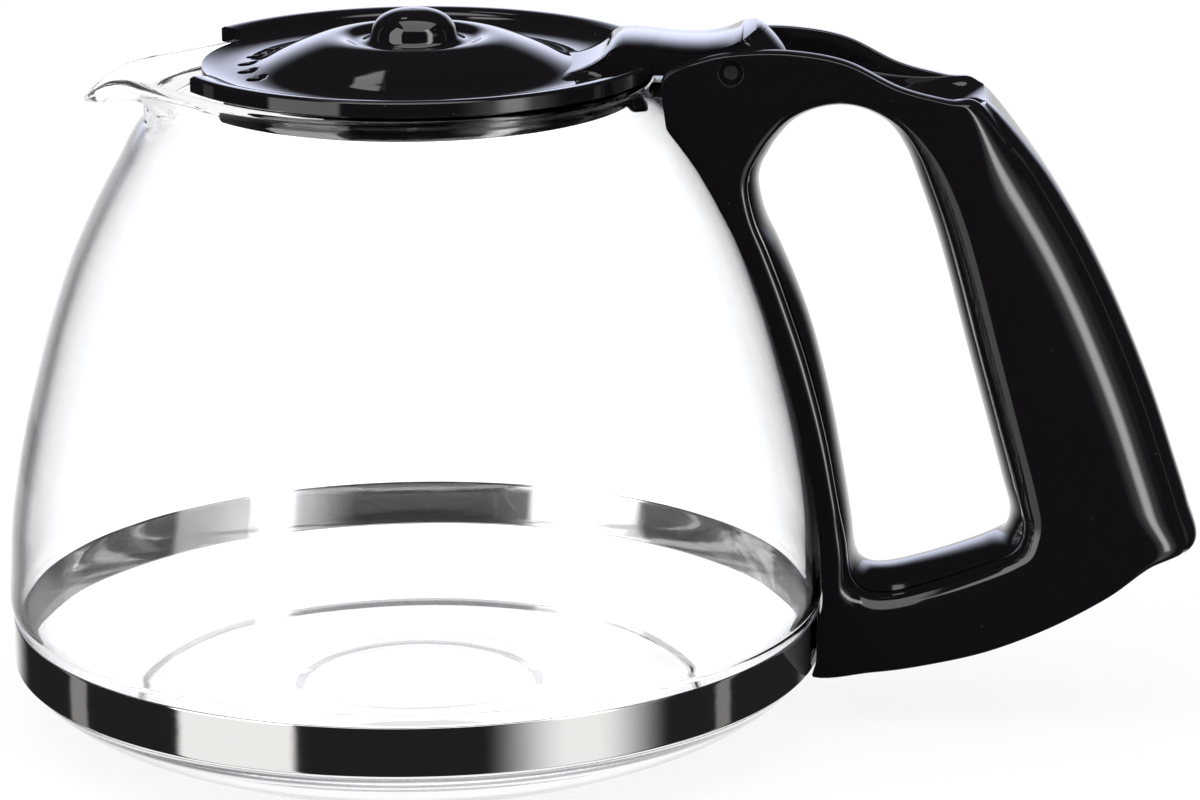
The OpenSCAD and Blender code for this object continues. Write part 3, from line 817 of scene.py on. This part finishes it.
lever_top = smooth(by_hinge(lever_line), 5)
lever = prism("thumb lever", lever_top + under_plate(0, 2.55)[::-1], lever_w / 2 - ledge)
round_tail(lever)
round_edges(lever, 0.25)
web = prism("lever web", under_plate(plate_sunk, 2.5) + by_hinge(web_line), lever_w / 2)
round_tail(web)
round_edges(web, 0.3, segments=2)


def line_height(line, x):
    for a, b in zip(line, line[1:]):
        if a[0] <= x <= b[0]:
            return a[1] + (b[1] - a[1]) * (x - a[0]) / (b[0] - a[0])
    return line[-1][1]


# The ramp's flanks run out into the dish: a sheet of heights between the lever and the lid
flank_half = 8
flank_core = 8.5
flank_wide, flank_narrow = 7.5, 1.2
flank_sunk = 0.12
flank_t = 0.6
ramp_over = 0.03
fade_from, fade_run = 29, 6.5
stations = [27 + 0.5 * k for k in range(18)]
spread = [k / 14 for k in range(-14, 15)]
lid_line = [(r + lid_shift, z + lid_z) for r, z in top_curve + rim_curve]
flank_points = []
for x in stations:
    ramp = line_height(lever_top, x)
    reach = flank_core + mix(flank_wide, flank_narrow, limited((x - fade_from) / fade_run))
    for share in spread:
        y = share * reach
        dish = line_height(lid_line, math.hypot(x - lid_shift, y) + lid_shift)
        fall = eased(limited((abs(y) - flank_half) / (reach - flank_half)))
        z = max(mix(ramp + ramp_over, dish - flank_sunk, fall), dish - flank_sunk)
        flank_points.append(Vector((x, y, z)) * mm)
row_n = len(spread)
flank_mesh = bpy.data.meshes.new("ramp flank")
flank_mesh.from_pydata(flank_points, [], [
    (i * row_n + j, (i + 1) * row_n + j, (i + 1) * row_n + j + 1, i * row_n + j + 1)
    for i in range(len(stations) - 1) for j in range(row_n - 1)])
flanks = bpy.data.objects.new("ramp flank", flank_mesh)
bpy.context.collection.objects.link(flanks)
modify(flanks, "SOLIDIFY", thickness=flank_t * mm, offset=-1)

boss_r = 3.2
boss_half = lever_w / 2
boss = spin_line("boss", soften([(0, -boss_half), (boss_r, -boss_half), (boss_r, boss_half),
                                 (0, boss_half)], 0.4), steps=64)
lay_along_y(boss, hinge.x, hinge.y)


def join(piece, *others):
    """Makes the others part of the piece."""
    pick(piece, *others)
    bpy.ops.object.join()


join(lever, boss, web, flanks)
shade(lever)
join(lid, lever)
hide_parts("lid_cover")
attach(lid, "lid")
gloss_plastic("lid plastic", lid, dusty=0.72)

# The skirt is a moulded ring pressed into the underside of the lid. Two small ridges round it
# hold the lid in the throat of the glass, and it is open towards the pouring lip. A lug by the
# hinge clears the handle's head as the lid swings.
skirt_r = 38.83
skirt_t = 2
skirt_in = skirt_r - skirt_t
ridge = 0.4
skirt_turn = 290
skirt_line = [(skirt_in, 0), (skirt_r, 0), (skirt_r, -1.5), (skirt_r + ridge, -1.93),
              (skirt_r, -2.33), (skirt_r, -2.75), (skirt_r + ridge, -3.13), (skirt_r, -3.53),
              (skirt_r, -4.2), (skirt_r - ridge, -4.6), (skirt_in, -4.6)]
skirt = spin_line("lid_skirt_ring", soften([(r, h + lid_z - seat_h) for r, h in skirt_line],
                                           0.15, 3),
                  turn=skirt_turn, start=-skirt_turn / 2, steps=232, closed=True)
skirt.data.transform(Matrix.Translation((lid_shift * mm, 0, 0)))
lug_h = 6.6
lug_half = 4
lug_top = lid_z - seat_h
lug_root = lid_shift + skirt_r - skirt_t
swing_r = 18.05
lug_line = [(hinge.x - math.sqrt(swing_r ** 2 - (hinge.y - lug_top + share * lug_h) ** 2),
             lug_top - share * lug_h) for share in (0, 0.2, 0.4, 0.6, 0.8, 1)]
lug_line += [(lug_root + x * lug_h, lug_top - z * lug_h)
             for x, z in ((0.36, 1.06), (0.25, 0.95), (0, 0.55))]
lug = prism("lug", lug_line + [(lug_root, lug_top)], lug_half)
round_edges(lug, 0.5, angle=25)
join(skirt, lug)
shade(skirt)
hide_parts("lid_skirt")
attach(skirt, "lid")
gloss_plastic("skirt plastic", skirt)

# The hinge pin is a plain rod of drawn steel, pressed in from one cheek of the handle's head.
# Its end shows in a round recess, and the drawing left faint marks along it.
pin_look = Look("drawn steel rod")
pin_marks = pin_look.noise((900, 40, 900), 3.0)
pin_look.finish(pin_look.node(
    "BsdfPrincipled", {}, Metallic=1.0, Base_Color=(0.12, 0.115, 0.115, 1),
    Roughness=0.3 + 0.2 * pin_marks, Normal=pin_look.bump(pin_marks, 0.00004)), nodes["hinge_pin"])

# The clamp screw and its square nut are zinc-plated steel. The screw passes the two tabs of the
# band inside the handle's foot, and the nut is held from turning by its pocket.
zinc_look = Look("zinc plate")
plated = zinc_look.noise((420, 420, 420), 4.0)
turned = zinc_look.noise((60, 1500, 60), 2.0)
zinc_look.finish(zinc_look.node(
    "BsdfPrincipled", {}, Metallic=1.0,
    Base_Color=zinc_look.blend(plated, (0.46, 0.47, 0.5, 1), (0.62, 0.62, 0.6, 1)),
    Roughness=0.2 + 0.2 * plated + 0.1 * turned,
    Normal=zinc_look.bump(plated + turned, 0.00003)), nodes["clamp_screw"], nodes["clamp_nut"])

# The surround is white for the camera, and for light that goes straight on through the glass.
# Gloss sees one tall white panel to each side of the camera, two soft boxes above, a narrow strip
# at each side and the white background behind the part, with dark between them.
white = (1, 1, 1, 1)
back_tint = (0.8, 0.84, 1.05, 1)
panel_level, left_boost, right_boost = 1.25, 2.6, 7
right_strip_level, left_strip_level = 0.25, 0.3
box_level, small_box_level = 2.6, 2.2
back_level, back_floor_level = 2.1, 0.95
glass_dim = 0.65
glass_gain = 1.6
matt_level = 0.75
dark_level = 0.02
least_rise = 0.05
world = Look("surround", bpy.context.scene.world or bpy.data.worlds.new("surround"))
bpy.context.scene.world = world.block
sideways = world.node("SeparateXYZ", {}, world.node("TexCoord", {}, out="Generated"), out="X")
ahead = sideways.other("Y")
rise = sideways.other("Z")
azimuth = sideways.math("ARCTAN2", ahead * -1) * math.degrees(1)
elevation = rise.math("ARCSINE") * math.degrees(1)
over_x = sideways / rise.math("MAXIMUM", least_rise)
over_y = ahead / rise.math("MAXIMUM", least_rise)


def between(value, low, high, soft):
    """1 between two values, with a soft run down to 0 just inside each of them."""
    return world.step_up(value, low, low + soft) * (1 - world.step_up(value, high - soft, high))


def panel(turn, dip, soft=2):
    """A panel between two azimuths and two elevations, in degrees."""
    return between(azimuth, *turn, soft) * between(elevation, *dip, 3)


def box_above(sides, ends, soft):
    """A soft box overhead: how far to the side and to the back, for each unit of height."""
    return between(over_x, *sides, soft) * between(over_y, *ends, soft)


high_up = world.step_up(elevation, -17, -6)
left_panel = panel((-68, -29), (-50, 54), 3) * (panel_level + left_boost * high_up)
right_panel = (panel((22, 80), (-50, 20), 26) * panel_level
               + panel((40, 62), (-17, 50), 9) * right_boost * high_up)
right_strip = panel((96, 104), (-50, 30)) * right_strip_level
left_strip = panel((-112, -102), (-50, 30)) * left_strip_level
top_box = (box_above((-0.45, 0.85), (-1.0, 0.3), 0.05) * box_level
           + box_above((-0.33, -0.18), (0.52, 0.7), 0.02) * small_box_level)
behind = world.step_up(azimuth.math("ABSOLUTE"), 140, 165)
above_floor = world.step_up(elevation, -2, 2)
back_glow = behind * above_floor * (1 - world.step_up(elevation, 7, 26)) * back_level
seen = world.node("LightPath", {}, out="Is Camera Ray")
# What the glass mirrors inside its own wall is dim, and draws its outlines
in_glass = 1 - glass_dim * seen.other("Transmission Depth").math("GREATER_THAN", 0.5)
back_floor = behind * (1 - above_floor) * back_floor_level * in_glass
gloss_light = (left_panel + right_panel + right_strip + left_strip + top_box + back_floor
               + dark_level)
# Rays that go straight on through the glass, and rays that are let out of its foot or lip
straight = seen.other("Is Transmission Ray") * seen.other("Glossy Depth").math("LESS_THAN", 0.5)
leaked = (seen.other("Transmission Depth").math("MODULO", 2.0).math("GREATER_THAN", 0.5)
          * seen.other("Glossy Depth").math("GREATER_THAN", 1.5))
matt = seen.other("Is Diffuse Ray")
through = (1 - seen) * straight
clear = seen.math("MAXIMUM", straight).math("MAXIMUM", leaked)
level = (seen + through * glass_gain + (1 - through) * (1 - seen) * leaked
         + (1 - clear) * (matt * matt_level + (1 - matt) * gloss_light))
glow = (1 - clear) * (1 - matt) * back_glow * in_glass
world.finish(world.node("AddShader", {}, world.node("Background", {}, white, level),
                        world.node("Background", {}, back_tint, glow)))

# The floor is a wide pale sheet just below the part, which takes its faint shadow. Mirrored light
# and light through the glass pass it by, and see the surround in its place.
floor_size = 6
floor_drop = 0.2
floor_share = 0.88
bpy.ops.object.select_all(action="DESELECT")
bpy.ops.mesh.primitive_plane_add(size=floor_size, location=(0, 0, -floor_drop * mm))
floor = bpy.context.object
floor.name = "floor"
floor_look = Look("pale floor")
floor_seen = floor_look.node("LightPath", {}, out="Is Camera Ray")
passed_by = (floor_seen.other("Is Glossy Ray").math("MAXIMUM",
                                                    floor_seen.other("Is Transmission Ray"))
             * (1 - floor_seen))
floor_glow = floor_look.node("Emission", {}, white, 1.0)
floor_paint = floor_look.node("BsdfDiffuse", {}, (0.85, 0.85, 0.86, 1))
floor_sheet = floor_look.node("MixShader", {}, floor_seen * floor_share, floor_paint, floor_glow)
floor_look.finish(floor_look.node("MixShader", {}, passed_by, floor_sheet,
                                  floor_look.node("BsdfTransparent", {})), floor)

# One large soft lamp, up and to the left, lights the matt surfaces and gives the floor its
# shadow. The camera, mirrored light and light through the glass don't see it.
key_place = Vector((-0.5, -0.3, 1.6))
key_size = 1.6
key_watts = 14
key_data = bpy.data.lights.new("soft key", "AREA")
key_data.size = key_size
key_data.energy = key_watts
key = bpy.data.objects.new("soft key", key_data)
bpy.context.collection.objects.link(key)
key.location = key_place
key.rotation_euler = (-key_place).to_track_quat("-Z", "Y").to_euler()
key.visible_camera = False
key.visible_transmission = False
key.visible_glossy = False
